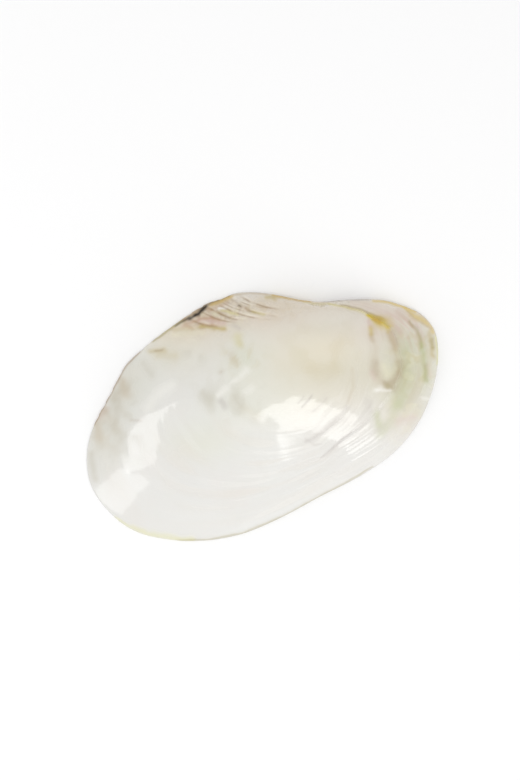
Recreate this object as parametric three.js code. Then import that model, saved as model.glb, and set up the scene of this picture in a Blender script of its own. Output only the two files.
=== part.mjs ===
// One valve of a polished freshwater pearl clam, lying convex side up on its margin.
// Millimetres, +Z up. The margin is drawn in the hinge's frame: x runs forward along the hinge
// line, y runs up towards the back of the shell, and the beak is at 0, 0. The mesh is then
// turned so that the shell's length lies along X, and centred over its own footprint.
import * as THREE from "three";
import { ParametricGeometry } from "three/addons/geometries/ParametricGeometry.js";
import { mergeVertices } from "three/addons/utils/BufferGeometryUtils.js";

// Driving dimensions
const HINGE_ANGLE = THREE.MathUtils.degToRad(27); // from the shell's length to its hinge line
const DEPTH = 26; // crest above the surface that the valve rests on
const CREST = new THREE.Vector2(-8, -32); // the highest point, seen from above
const WALL = 2.3; // thickness at the crest
const LIP = 0.6; // height of the blunt outer edge
const RIM = 1.7; // width of the flat edge round the belly
const HINGE_PLATE = 4.2; // width of the flat edge along the hinge
const UMBO_SWELL = 2.6; // extra fullness below the beak
const UMBO_REACH = 10;
const UMBO = new THREE.Vector2(1, -9);

// The margin, from the dip behind the beak backwards, round the belly and up the front end
const MARGIN_POINTS = [
  [0.8, 2.9], [-6.8, 3.6], [-13.6, 5.0], [-20.4, 6.2], [-27.2, 6.7], [-33.2, 6.2],
  [-38.0, 4.2], [-44.0, 2.3], [-49.6, -0.9], [-56.4, -5.6], [-64.0, -11.1], [-71.2, -17.0],
  [-76.6, -22.2], [-80.8, -29.6], [-84.8, -37.2], [-89.0, -45.2], [-92.2, -56.4],
  [-91.1, -69.4], [-84.8, -79.8], [-73.6, -88.6], [-59.2, -92.2], [-44.4, -92.5],
  [-30.0, -89.8], [-14.8, -83.4], [1.2, -74.8], [17.4, -66.5], [31.0, -56.8],
  [40.5, -44.8], [46.2, -30.8], [48.0, -18.4], [46.6, -8.8], [41.0, -2.0], [34.4, 1.1],
  [27.2, 3.3], [20.0, 3.9], [10.4, 3.6],
];
const WING_SPANS = [2, 10]; // the spans of the margin that the folds run out to
const WING_COLUMNS = 6; // columns of faces in each of those spans, and in each other one
const PLAIN_COLUMNS = 3;

// How full the wall stands above the margin, by direction from the crest in degrees:
// under 1 it rises steeply from the edge, over 1 it flares out
const FULLNESS = [
  [13, 0.84], [50, 0.74], [76, 0.6], [95, 0.72], [117, 0.98], [143, 1.04], [165, 0.96],
  [210, 0.93], [255, 1.0], [300, 1.0], [330, 0.94],
];
const CREST_FULLNESS = 0.92; // the same in all directions at the crest
const CREST_BLEND = [0.15, 0.75]; // shares of the way out over which direction comes to count

// Growth rests: the stage of growth at which each stopped, and the ridge's height and length
const FIRST_REST = 0.62;
const RESTS = [
  { stage: 0.36, height: 0.25, length: 0.05 },
  { stage: FIRST_REST, height: 0.75, length: 0.07 },
  { stage: 0.76, height: 0.4, length: 0.05 },
  { stage: 0.88, height: 0.4, length: 0.05 },
];
const REST_EDGE = 0.018; // how quickly a rest's ridge drops off, as a stage of growth
const REAR_STRENGTH = 0.3; // share of their height that the rests keep at the rear
const BEAK_CALM = [2, 14]; // distances from the beak over which relief comes in
const CORNER_DIP = 0.19; // how far the growth lines draw in towards the beak at its front
const LEDGE_DROP = 0.6; // share of its height that the face behind the beak loses at the ledge

// Folds across the wing, each from its outer end to its inner end
const FOLDS = [
  { from: [-30.5, 5.6], to: [-17.0, 0.8], height: 0.45, width: 0.9 },
  { from: [-36.4, 4.0], to: [-14.5, -2.8], height: 0.75, width: 0.9 },
  { from: [-39.6, 2.4], to: [-20.0, -3.6], height: 0.6, width: 0.8 },
  { from: [-43.6, 1.2], to: [-28.0, -4.6], height: 0.7, width: 0.8 },
  { from: [-46.6, -0.4], to: [-32.0, -6.6], height: 0.6, width: 0.8 },
  { from: [-50.6, -3.4], to: [-34.5, -8.6], height: 0.5, width: 1.0 },
  { from: [-58.0, -9.4], to: [-44.0, -13.0], height: 0.35, width: 1.4 },
  { from: [-70.0, -19.4], to: [-60.0, -21.4], height: 0.35, width: 1.6 },
];
const FOLD_BOW = 0.06; // how far a fold bows towards the beak, as a share of its length
const OUTER_FADE = [-0.1, 0.18]; // shares of a fold's length over which its ends come in and go
const INNER_FADE = [0.65, 1.1];

// Scars where the shell's muscles were fixed, inside: centre, half sizes and depth
const SCARS = [
  { at: [29, -15], size: [8, 6.5], depth: 0.5 },
  { at: [-50, -31], size: [11, 8.5], depth: 0.45 },
];
const SCAR_EDGE = 0.16; // softness of a scar's edge, as a share of its size

// Stages of growth at which the outer skin has a ring of vertices, closer at the rests
const OUTER_STAGES = [
  0, 0.05, 0.1, 0.16, 0.22, 0.28, 0.33, 0.355, 0.38, 0.43, 0.48, 0.53, 0.57, 0.6, 0.616,
  0.634, 0.66, 0.7, 0.735, 0.757, 0.775, 0.81, 0.845, 0.872, 0.892, 0.93, 0.965, 1,
];
const INNER_RINGS = 9;
const EDGE_FADE = [0.9, 1]; // stages of growth over which relief runs out at the margin
const TABLE_SIZE = 720; // samples of the margin in each table of radii
const SMOOTH_ORDERS = [0, 1, 2, 3, 4, 5]; // harmonics kept in a smoothed margin
const ROUND_ORDERS = [0, 2]; // and those of the ellipse that the skin follows at the crest
const ROUND_BLEND = [0.05, 0.8]; // shares of the way out over which the ellipse gives way
const NEAR_EDGE = 5; // power with which the margin's small steps count towards the edge
const TANGENT_REACH = 0.012; // half the stretch of margin that sets the flat edge's direction

const clamp01 = (x) => Math.min(1, Math.max(0, x));
const mix = THREE.MathUtils.lerp;
const degrees = (x, y) => (THREE.MathUtils.radToDeg(Math.atan2(y, x)) + 360) % 360;

// 0 before a, 1 after b, and smooth between
function ease(a, b, x) {
  const t = clamp01((x - a) / (b - a));
  return t * t * (3 - 2 * t);
}

const margin = new THREE.CatmullRomCurve3(
  MARGIN_POINTS.map(([x, y]) => new THREE.Vector3(x, y, 0)),
  true,
  "centripetal",
);

// Where each column of faces meets the margin, as the curve's own parameter
const columns = MARGIN_POINTS.flatMap((_, span) => {
  const inWing = span >= WING_SPANS[0] && span < WING_SPANS[1];
  const count = inWing ? WING_COLUMNS : PLAIN_COLUMNS;
  return Array.from({ length: count }, (_, k) => (span + k / count) / MARGIN_POINTS.length);
});

// Width of the flat edge: the hinge plate behind and in front of the beak, the rim elsewhere
function edgeWidth(point) {
  const alongHinge = ease(-58, -44, point.x) * (1 - ease(24, 38, point.x));
  const atHinge = ease(-16, -6, point.y) * alongHinge;
  return RIM + (HINGE_PLATE - RIM) * atHinge;
}

function marginPoint(t) {
  return margin.getPoint(t % 1);
}

function innerMarginPoint(t) {
  const point = marginPoint(t);
  const along = marginPoint(t + TANGENT_REACH).sub(marginPoint(t + 1 - TANGENT_REACH)).normalize();
  const inward = new THREE.Vector3(-along.y, along.x, 0);
  return point.addScaledVector(inward, edgeWidth(point));
}

// The radius of a closed line about a centre, for each direction from it
function radiusTable(pointAt, centre) {
  const found = Array.from({ length: TABLE_SIZE * 2 }, (_, k) => {
    const p = pointAt(k / (TABLE_SIZE * 2));
    const [dx, dy] = [p.x - centre.x, p.y - centre.y];
    return [degrees(dx, dy), Math.hypot(dx, dy)];
  }).sort((a, b) => a[0] - b[0]);
  const last = found.at(-1);
  const ring = [[last[0] - 360, last[1]], ...found, [found[0][0] + 360, found[0][1]]];
  let at = 0;
  return Array.from({ length: TABLE_SIZE }, (_, k) => {
    const direction = (k * 360) / TABLE_SIZE;
    while (ring[at + 1][0] < direction) at += 1;
    const [[a, ra], [b, rb]] = [ring[at], ring[at + 1]];
    return ra + ((rb - ra) * (direction - a)) / Math.max(b - a, 1e-9);
  });
}

// A table's first few harmonics, which leave out the margin's small steps
function smoothed(table, orders = SMOOTH_ORDERS) {
  const sums = orders.map((order) => {
    const turn = (k) => (order * k * 2 * Math.PI) / table.length;
    const scale = (order === 0 ? 1 : 2) / table.length;
    const cosine = scale * table.reduce((sum, r, k) => sum + r * Math.cos(turn(k)), 0);
    const sine = scale * table.reduce((sum, r, k) => sum + r * Math.sin(turn(k)), 0);
    return (k) => cosine * Math.cos(turn(k)) + sine * Math.sin(turn(k));
  });
  return table.map((_, k) => sums.reduce((sum, harmonic) => sum + harmonic(k), 0));
}

function lookUp(table, direction) {
  const x = (direction / 360) * table.length;
  const k = Math.floor(x);
  const [a, b] = [table[k % table.length], table[(k + 1) % table.length]];
  return a + (b - a) * (x - k);
}

// The share of the way from the crest to a closed line, for a point inside it. Its small
// steps count only close to the line, so that they don't run up the wall.
function crestShare(pointAt) {
  const exact = radiusTable(pointAt, CREST);
  const smooth = smoothed(exact);
  const round = smoothed(exact.map((r) => r ** -2), ROUND_ORDERS).map((v) => v ** -0.5);
  return (x, y) => {
    const [dx, dy] = [x - CREST.x, y - CREST.y];
    const [direction, r] = [degrees(dx, dy), Math.hypot(dx, dy)];
    const edge = lookUp(exact, direction);
    const middle = mix(lookUp(round, direction), lookUp(smooth, direction), ease(...ROUND_BLEND, r / edge));
    const reach = mix(middle, edge, Math.min(1, r / edge) ** NEAR_EDGE);
    return Math.min(1, r / reach);
  };
}

const fullnessTable = smoothed(Array.from({ length: TABLE_SIZE }, (_, k) => {
  const direction = (k * 360) / TABLE_SIZE;
  const next = FULLNESS.findIndex(([angle]) => angle > direction);
  const b = FULLNESS[next < 0 ? 0 : next];
  const a = FULLNESS[next <= 0 ? FULLNESS.length - 1 : next - 1];
  const span = (b[0] - a[0] + 360) % 360;
  return a[1] + ((b[1] - a[1]) * ((direction - a[0] + 360) % 360)) / span;
}));

const outerShare = crestShare(marginPoint);
const innerShare = crestShare(innerMarginPoint);

function dome(share, x, y, height) {
  const around = lookUp(fullnessTable, degrees(x - CREST.x, y - CREST.y));
  const power = mix(CREST_FULLNESS, around, ease(...CREST_BLEND, share));
  return height * Math.max(0, 1 - share ** 2) ** power;
}

// Direction from the beak, from -180 to 180 degrees
const beakDirection = (x, y) => THREE.MathUtils.radToDeg(Math.atan2(y, x));

// Growth lines are the margin drawn smaller towards the beak. In front of the beak they
// draw in further, which leaves the shell's front corner outside the first rest.
function growthScale(stage, direction) {
  const front = ease(-13, -2, direction) * (1 - ease(15, 80, direction));
  const bend = (stage * (1 - stage)) / (FIRST_REST * (1 - FIRST_REST));
  return stage - CORNER_DIP * front * bend;
}

// A rest is a ridge that rises towards its edge and then drops off
function restHeight(stage, direction) {
  const front = ease(-110, -60, direction) * (1 - ease(150, 175, direction));
  const strength = REAR_STRENGTH + (1 - REAR_STRENGTH) * front;
  return RESTS.reduce((sum, rest) => {
    const before = Math.exp(-Math.max(0, rest.stage - stage) / rest.length);
    const drop = 1 - ease(rest.stage, rest.stage + REST_EDGE, stage);
    return sum + rest.height * strength * before * drop;
  }, 0);
}

function foldHeight(x, y) {
  return FOLDS.reduce((sum, fold) => {
    const along = [fold.to[0] - fold.from[0], fold.to[1] - fold.from[1]];
    const length = Math.hypot(...along);
    const [ux, uy] = along.map((a) => a / length);
    const [dx, dy] = [x - fold.from[0], y - fold.from[1]];
    const share = (dx * ux + dy * uy) / length;
    const bow = FOLD_BOW * length * Math.sin(Math.PI * clamp01(share));
    const aside = (dy * ux - dx * uy + bow) / fold.width;
    const ends = ease(...OUTER_FADE, share) * (1 - ease(...INNER_FADE, share));
    return sum + fold.height * ends * Math.exp(-(aside ** 2));
  }, 0);
}

// The face behind the beak drops to a narrow ledge along the hinge
function ledgeFactor(stage, direction) {
  const behind = ease(5, 40, direction) * (1 - ease(140, 165, direction));
  return 1 - LEDGE_DROP * behind * ease(0.25, FIRST_REST, stage);
}

function outerPoint(stage, t) {
  const edge = marginPoint(t);
  const direction = beakDirection(edge.x, edge.y);
  const scale = growthScale(stage, direction);
  const [x, y] = [edge.x * scale, edge.y * scale];
  const share = stage === 1 ? 1 : outerShare(x, y);
  const fromUmbo = Math.hypot(x - UMBO.x, y - UMBO.y) / UMBO_REACH;
  const swell = UMBO_SWELL * Math.exp(-(fromUmbo ** 2)) * Math.sqrt(1 - share ** 2);
  const base = (dome(share, x, y, DEPTH - LIP) + swell) * ledgeFactor(stage, direction);
  const present = ease(...BEAK_CALM, Math.hypot(x, y)) * (1 - ease(...EDGE_FADE, stage));
  const relief = (restHeight(stage, direction) + foldHeight(x, y)) * present;
  return new THREE.Vector3(x, y, LIP + base + relief);
}

function scarDepth(x, y) {
  return SCARS.reduce((sum, { at, size, depth }) => {
    const reach = Math.hypot((x - at[0]) / size[0], (y - at[1]) / size[1]);
    return sum + depth * (1 - ease(1 - SCAR_EDGE, 1 + SCAR_EDGE, reach));
  }, 0);
}

function innerPoint(share, t) {
  const edge = innerMarginPoint(t);
  const x = CREST.x + (edge.x - CREST.x) * share;
  const y = CREST.y + (edge.y - CREST.y) * share;
  if (share === 1) return new THREE.Vector3(x, y, 0);
  const height = dome(innerShare(x, y), x, y, DEPTH - WALL);
  return new THREE.Vector3(x, y, height + scarDepth(x, y) * (1 - ease(0.8, 1, share)));
}

// The skin's rows, from the beak over the outside to the margin and back up the inside
const rows = [
  ...OUTER_STAGES.map((stage) => (t) => outerPoint(stage, t)),
  (t) => marginPoint(t),
  ...Array.from({ length: INNER_RINGS + 1 }, (_, k) => {
    const share = 1 - k / INNER_RINGS;
    return (t) => innerPoint(share, t);
  }),
];

// Each square of the skin is parted along its shorter diagonal, so that folds stay smooth
function shortDiagonals(surface) {
  const corners = surface.index.array;
  const at = (i) => new THREE.Vector3().fromBufferAttribute(surface.attributes.position, i);
  const parted = [];
  for (let i = 0; i < corners.length; i += 6) {
    const [a, b, d, , c] = corners.slice(i, i + 6);
    const shortest = at(a).distanceTo(at(c)) < at(b).distanceTo(at(d));
    parted.push(...(shortest ? [a, b, c, a, c, d] : [a, b, d, b, c, d]));
  }
  surface.setIndex(parted);
}

// The skin as one closed body: vertices that coincide are merged, and faces that had
// shrunk to a line at the two poles are dropped
function closedSkin() {
  const surface = new ParametricGeometry(
    (u, v, target) => {
      const column = Math.round((1 - u) * columns.length) % columns.length;
      const row = Math.min(rows.length - 1, Math.max(0, Math.round(v * (rows.length - 1))));
      target.copy(rows[row](columns[column]));
    },
    columns.length,
    rows.length - 1,
  );
  shortDiagonals(surface);
  surface.deleteAttribute("normal");
  surface.deleteAttribute("uv");
  const merged = mergeVertices(surface, 1e-3);
  const corners = merged.index.array;
  const kept = [];
  for (let i = 0; i < corners.length; i += 3) {
    const [a, b, c] = corners.slice(i, i + 3);
    if (a !== b && b !== c && c !== a) kept.push(a, b, c);
  }
  merged.setIndex(kept);
  merged.computeVertexNormals();
  return merged;
}

const NACRE = new THREE.MeshStandardMaterial({
  color: new THREE.Color(0.86, 0.84, 0.78),
  roughness: 0.22,
  metalness: 0,
});

const valve = new THREE.Mesh(closedSkin(), NACRE);
valve.name = "valve";
valve.rotation.z = -HINGE_ANGLE;
valve.updateMatrixWorld(true);
const footprint = new THREE.Box3().setFromObject(valve, true).getCenter(new THREE.Vector3());
valve.position.set(-footprint.x, -footprint.y, 0);

const clamShell = new THREE.Group();
clamShell.add(valve);
export default clamShell;
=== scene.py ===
"""A polished freshwater clam valve, modelled finely in the place of its plain solid.

Shapes are worked out in millimetres in the hinge's frame: x runs forward along the hinge line, y up
towards the back of the shell, and the beak is at 0, 0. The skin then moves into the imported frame.
"""

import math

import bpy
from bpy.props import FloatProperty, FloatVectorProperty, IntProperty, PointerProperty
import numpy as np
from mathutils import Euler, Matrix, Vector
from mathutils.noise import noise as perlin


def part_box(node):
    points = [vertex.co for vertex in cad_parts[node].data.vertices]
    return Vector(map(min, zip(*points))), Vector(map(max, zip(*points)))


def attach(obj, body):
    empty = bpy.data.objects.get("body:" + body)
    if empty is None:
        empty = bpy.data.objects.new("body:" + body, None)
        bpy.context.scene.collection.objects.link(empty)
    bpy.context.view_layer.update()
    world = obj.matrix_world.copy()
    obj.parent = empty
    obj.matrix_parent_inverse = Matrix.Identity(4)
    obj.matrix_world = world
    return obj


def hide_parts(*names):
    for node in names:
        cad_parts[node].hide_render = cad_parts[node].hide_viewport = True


bl_info = {
    "name": "Clam valve",
    "version": (1, 0, 0),
    "blender": (4, 5, 0),
    "location": "3D View > Sidebar > Clam valve",
    "description": "Models one polished clam valve with its nacre, growth lines and stains",
    "category": "Object",
}

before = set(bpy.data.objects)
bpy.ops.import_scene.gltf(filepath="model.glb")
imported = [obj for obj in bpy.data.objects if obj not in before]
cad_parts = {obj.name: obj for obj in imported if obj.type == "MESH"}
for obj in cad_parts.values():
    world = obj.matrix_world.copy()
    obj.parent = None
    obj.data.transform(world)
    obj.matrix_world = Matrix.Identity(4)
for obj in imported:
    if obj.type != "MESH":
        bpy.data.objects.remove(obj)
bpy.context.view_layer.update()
VALVE_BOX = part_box("valve")

MM = 0.001
HINGE_TURN = Euler((0, 0, math.radians(-27)))  # from the hinge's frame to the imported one

# The margin, from the dip behind the beak backwards, round the belly and up the front end
MARGIN = np.array([
    (0.8, 2.9), (-6.8, 3.6), (-13.6, 5), (-20.4, 6.2), (-27.2, 6.7), (-33.2, 6.2),
    (-38, 4.2), (-44, 2.3), (-49.6, -0.9), (-56.4, -5.6), (-64, -11.1), (-71.2, -17),
    (-76.6, -22.2), (-80.8, -29.6), (-84.8, -37.2), (-89, -45.2), (-92.2, -56.4),
    (-91.1, -69.4), (-84.8, -79.8), (-73.6, -88.6), (-59.2, -92.2), (-44.4, -92.5),
    (-30, -89.8), (-14.8, -83.4), (1.2, -74.8), (17.4, -66.5), (31, -56.8),
    (40.5, -44.8), (46.2, -30.8), (48, -18.4), (46.6, -8.8), (41, -2), (34.4, 1.1),
    (27.2, 3.3), (20, 3.9), (10.4, 3.6),
])
SKY_AIM = (-0.2, -0.7, 0.65)  # where the soft light is brightest, in the hinge's frame
SKY_RANGE = (-0.5, 1)  # cosines to it between which it changes
PICTURE_HEIGHT = 780  # pixels

# Softboxes: target on the valve, direction from it, roll in degrees and sizes in metres
SOFTBOXES = [
    ("rear_softbox", (-66, -55, 10), (-0.72, -0.055, 0.7), 6, (0.6, 0.27)),
    ("rear_low_softbox", (-78, -73, 4), (-0.71, -0.49, 0.52), 26, (0.34, 0.42)),
    ("front_softbox", (-3, -46, 20), (0.32, -0.632, 0.735), 21, (0.35, 1.6)),
]
LOW_SHARE = 0.65  # the low one's share of the power at the rear

# How close the columns of faces stand, by place along the margin in spans
COLUMN_WEIGHTS = [
    (0, 1.2), (1, 2.2), (8, 2.2), (11, 1.3), (16, 1.0), (19, 0.8), (23, 0.85), (26, 1.9), (33, 2.1),
    (36, 1.2),
]

SEEN_FROM = np.array((-23.2, -32.4, 1300.0))  # the camera, from which tints and stains are placed
CREST = np.array((-8.0, -32.0))  # the highest point, seen from above
FULLNESS = [
    (13, 0.84), (50, 0.74), (76, 0.6), (95, 0.72), (117, 0.98), (143, 1.04), (165, 0.96),
    (210, 0.93), (255, 1.0), (300, 1.0), (330, 0.94),
]
CREST_FULLNESS = 0.92
CREST_BLEND = (0.15, 0.75)
UMBO = np.array((1.0, -9.0))
UMBO_REACH = 10
UMBO_SWELL = 2.6

# Rest lines, where growth paused: points, stage, height, length and the direction beyond which they
# are worn flat
FIRST_REST = 0.62
REST_LINES = [
    ([(7.4, 0.5), (12.6, -0.9), (16.4, -3.4), (16.4, -10.2), (15.2, -18.2), (14.3, -24.1),
      (14.3, -31.3), (12.2, -37.6), (9.1, -42.7), (4, -46.9), (-1.2, -51), (-6.3, -53.2)],
     0.5, 0.45, 0.06, -35),
    ([(8.8, 1.1), (14.5, -0.2), (18.5, -1.8), (21.3, -3.7), (24.5, -5.1), (28, -7.6), (30, -11.9),
      (31.2, -16.1), (32.4, -23.9), (30, -30.1), (24.2, -38.3), (17.2, -45.8), (12.1, -49.4),
      (7.3, -52.6), (1.8, -58.5)], 0.7, 1.4, 0.1, 360),
    ([(32.1, -1.1), (35.5, -3.7), (38.1, -6.7), (40.1, -9.7), (41.5, -15.1), (42.1, -19.1),
      (42.8, -24.4), (42.6, -29.4), (39.6, -36.5), (35.4, -44), (25.8, -54.4)], 0.9, 0.4, 0.04, 360),
]
REST_EDGE = 0.018
REST_RUN_OUT = (40, 25)  # degrees beyond a line's ends
WORN_REACH = 20  # degrees over which it is worn flat
REAR_STRENGTH = 0.03
CORNER_DIP = 0.19
LEDGE_DROP = 0.6
LEDGE_START = 0.25

# Directions from the beak, in degrees, of the front end, its corner and the ledge
FRONT_LIMITS = (-104, -80, 150, 175)
CORNER_LIMITS = (-13, -2, 15, 80)
LEDGE_LIMITS = (5, 40, 140, 165)

# Where the hinge plate is wide, along the hinge line and across it
PLATE_LIMITS = (-58, -44, 24, 38)
PLATE_FADE = (-16, -6)
BEAK_CALM = (2, 14)  # from the beak, where relief comes in
EDGE_FADE = (0.9, 1)  # stages where it goes out

# Folds across the wing: outer end, inner end, height and width
FOLDS = [
    ((-30.5, 5.6), (-15, 0.4), 0.5, 0.9),
    ((-33.6, 4.6), (-20, 0.6), 0.3, 0.5),
    ((-36.4, 4), (-12.5, -2.6), 0.75, 0.9),
    ((-38, 3), (-27, -0.8), 0.35, 0.5),
    ((-39.6, 2.4), (-19, -3.8), 0.6, 0.8),
    ((-43.6, 1.2), (-28, -4.2), 0.7, 0.8),
    ((-46.6, -0.4), (-31, -5.2), 0.5, 0.7),
    ((-50.6, -3.4), (-38.5, -6.4), 0.5, 1),
    ((-53, -6), (-40, -8.8), 0.4, 1.2),
    ((-58, -9.4), (-46, -12), 0.3, 1.6),
    ((-68, -17.4), (-60, -19), 0.25, 1.6),
]
FOLD_BOW = 0.06
FOLD_LIMITS = (-0.1, 0.18, 0.65, 1.1)  # along a fold, by its length
FOLD_SLOPES = (0.9, 1.5)  # steepness of its two sides
GROOVE = (1, 0.45)  # how far aside and how wide, by its width
# Where the painted highlight on a fold's back lies: how far aside and how wide, by its width
RIDGE = (0.1, 0.5)

# Scars inside, where the muscles were fixed: centre, half sizes and depth
SCARS = [((29, -15), (8, 6.5), 0.5), ((-50, -31), (11, 8.5), 0.45)]
SCAR_EDGE = 0.16
SCAR_FADE = (0.8, 1)  # shares of the way to the rim
ROUND_REACH = 8  # how far noise that follows the growth runs for each radian round the beak
GROWTH_REACH = 60  # and for the whole growth
PALLIAL_SHARE = 0.86  # where the mantle's line runs inside
PALLIAL_WIDTH = 0.012
PALLIAL_DEPTH = 0.12
PALLIAL_FADE = (-10, 2)  # below the hinge line, where it comes in

TABLE_SIZE = 720
TABLE_DEGREES = np.arange(TABLE_SIZE) * 360 / TABLE_SIZE
ROUND_THE_MARGIN = np.arange(2 * TABLE_SIZE) / (2 * TABLE_SIZE)
FINE_STEPS = 2000
SMOOTH_ORDERS = (0, 1, 2, 3, 4, 5)
ROUND_ORDERS = (0, 2)
ROUND_BLEND = (0.05, 0.8)
NEAR_EDGE = 5
TANGENT_REACH = 0.012

# Fine growth lines: how many, their stages and their greatest height
GROWTH_LINES = 30
GROWTH_STAGES = (0.3, 0.985)
GROWTH_HEIGHT = 0.22
GROWTH_REAR = 0.14  # their height elsewhere, as a share
LOWER_FRONT = (-62, 30)  # where they are highest: direction and reach in degrees
GROWTH_WANDER = 0.006
GROWTH_SLOPE = (0.015, 0.008)  # stages over which a line rises and drops
GROWTH_SEED = 11
SWELLS = [(11, 0.1, 1.5), (4.5, 0.035, 7.5)]  # soft unevenness: size, height and seed

# Small bumps and dents of the outside: place, radius and height
BUMPS = [
    ((-28.4, -25.2), 2.2, 0.1), ((-27.2, -28.6), 1.6, 0.08), ((-32, -33.2), 2, 0.08),
    ((-38.4, -38), 2.6, -0.1), ((-38.4, -24.4), 2.4, -0.08), ((-72.8, -44), 2.6, -0.08),
    ((28.4, -25.2), 3.4, 0.28), ((24.2, -25), 2, -0.12), ((33, -27), 2.2, -0.12),
    ((-82, -43), 2.6, -0.1), ((25, -44), 3, -0.16), ((31, -38), 3.2, 0.14),
]

# The rounded edge: millimetres in from the margin, and share of the lip's height
EDGE_ROUND = [(0.02, 0.55), (0.12, 0.2), (0.35, 0)]
RIM_SHARES = (0.6, 0.97)  # where rows cross the flat rim
RIM_GROWTH = 0.1  # growth counted over the edge and rim
INSIDE_FADE = (1.02, 1.06)  # growth where the inside's colours set in

# Small bites out of the margin: place, half width along it and depth
NIBBLES = [
    ((-70.4, -16.4), 1.2, 0.35), ((-77.6, -26.4), 1.6, 0.4), ((-82.4, -34), 1.8, 0.45),
    ((-85.6, -38.8), 1.2, 0.5), ((-88, -43.6), 1.2, 0.4), ((-47, 0.6), 1, 0.5),
    ((-51, -2.4), 0.9, 0.4), ((-41.6, 3.1), 1, 0.3), ((-39, 3.9), 0.8, 0.3),
]
NIBBLE_START = 0.93  # stage from which growth gives way to them


def srgb(red, green, blue):
    """A colour as seen on screen, from 0 to 255, in the linear values that shaders use."""
    return tuple(
        c / 12.92 if c <= 0.04045 else ((c + 0.055) / 1.055) ** 2.4
        for c in (red / 255, green / 255, blue / 255)
    )


# What the polished skin is tinted with, in broad soft patches: centre, half sizes, colour and cover
PEARL = srgb(225, 224, 220)
SAND = srgb(231, 223, 202)
ROSE = srgb(222, 208, 190)
TAN = srgb(210, 194, 166)
TAUPE = srgb(220, 209, 190)
SAGE = srgb(208, 205, 180)
MIST = srgb(214, 213, 200)
FERN = srgb(222, 223, 208)
LINEN = srgb(222, 219, 198)
HAY = srgb(225, 215, 192)
PETAL = srgb(232, 217, 206)
HONEY = srgb(224, 198, 112)
PUTTY = srgb(211, 206, 187)
TINTS = [
    ((1, -19), (30, 21), SAND, 1),
    ((10, -27), (24, 9), PUTTY, 0.55),
    ((-22, -1), (26, 7), ROSE, 0.8),
    ((-15, 1.6), (11, 3.5), TAN, 0.6),
    ((-57, -9), (17, 9), HAY, 0.8),
    ((-45, -2), (14, 7), TAN, 0.9),
    ((12, 2.4), (30, 4), TAUPE, 0.9),
    ((35, -4), (12, 7), PETAL, 0.8),
    ((23, -9), (7, 7), PETAL, 0.4),
    ((37, -23), (12, 18), SAGE, 0.9),
    ((31, -44), (10, 8), ROSE, 0.3),
    ((-76, -30), (12, 14), MIST, 0.65),
    ((-57, -20), (15, 9), LINEN, 0.35),
    ((-86, -50), (9, 14), MIST, 0.6),
    ((-30, -20), (9, 10), FERN, 0.7),
    ((-32, -38), (16, 9), FERN, 0.45),
    ((-46, -53), (14, 8), FERN, 0.6),
    ((-16, -34), (12, 12), FERN, 0.3),
]

OCHRE = srgb(208, 184, 56)
AMBER = srgb(208, 178, 104)
STRAW = srgb(212, 202, 130)
OLIVE = srgb(158, 146, 82)
BARK = srgb(28, 17, 0)
UMBER = srgb(150, 120, 84)
RUST = srgb(180, 130, 90)
BLUSH = srgb(216, 190, 182)
MOSS = srgb(182, 190, 138)
FLAX = srgb(196, 178, 118)
BISCUIT = srgb(190, 170, 138)
LEMON = srgb(224, 222, 176)
CREAM = srgb(234, 230, 202)
# Grey, for grey lines and for painted shade
GREY_AND_SHADE = srgb(178, 170, 166)
SMOKE = srgb(198, 194, 180)
# White, for white flecks and for painted highlights
WHITE_AND_HIGHLIGHT = srgb(246, 245, 240)
# The colour of the painted highlight on the folds' backs
RIDGE_HIGHLIGHT_COLOUR = srgb(238, 231, 218)
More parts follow.
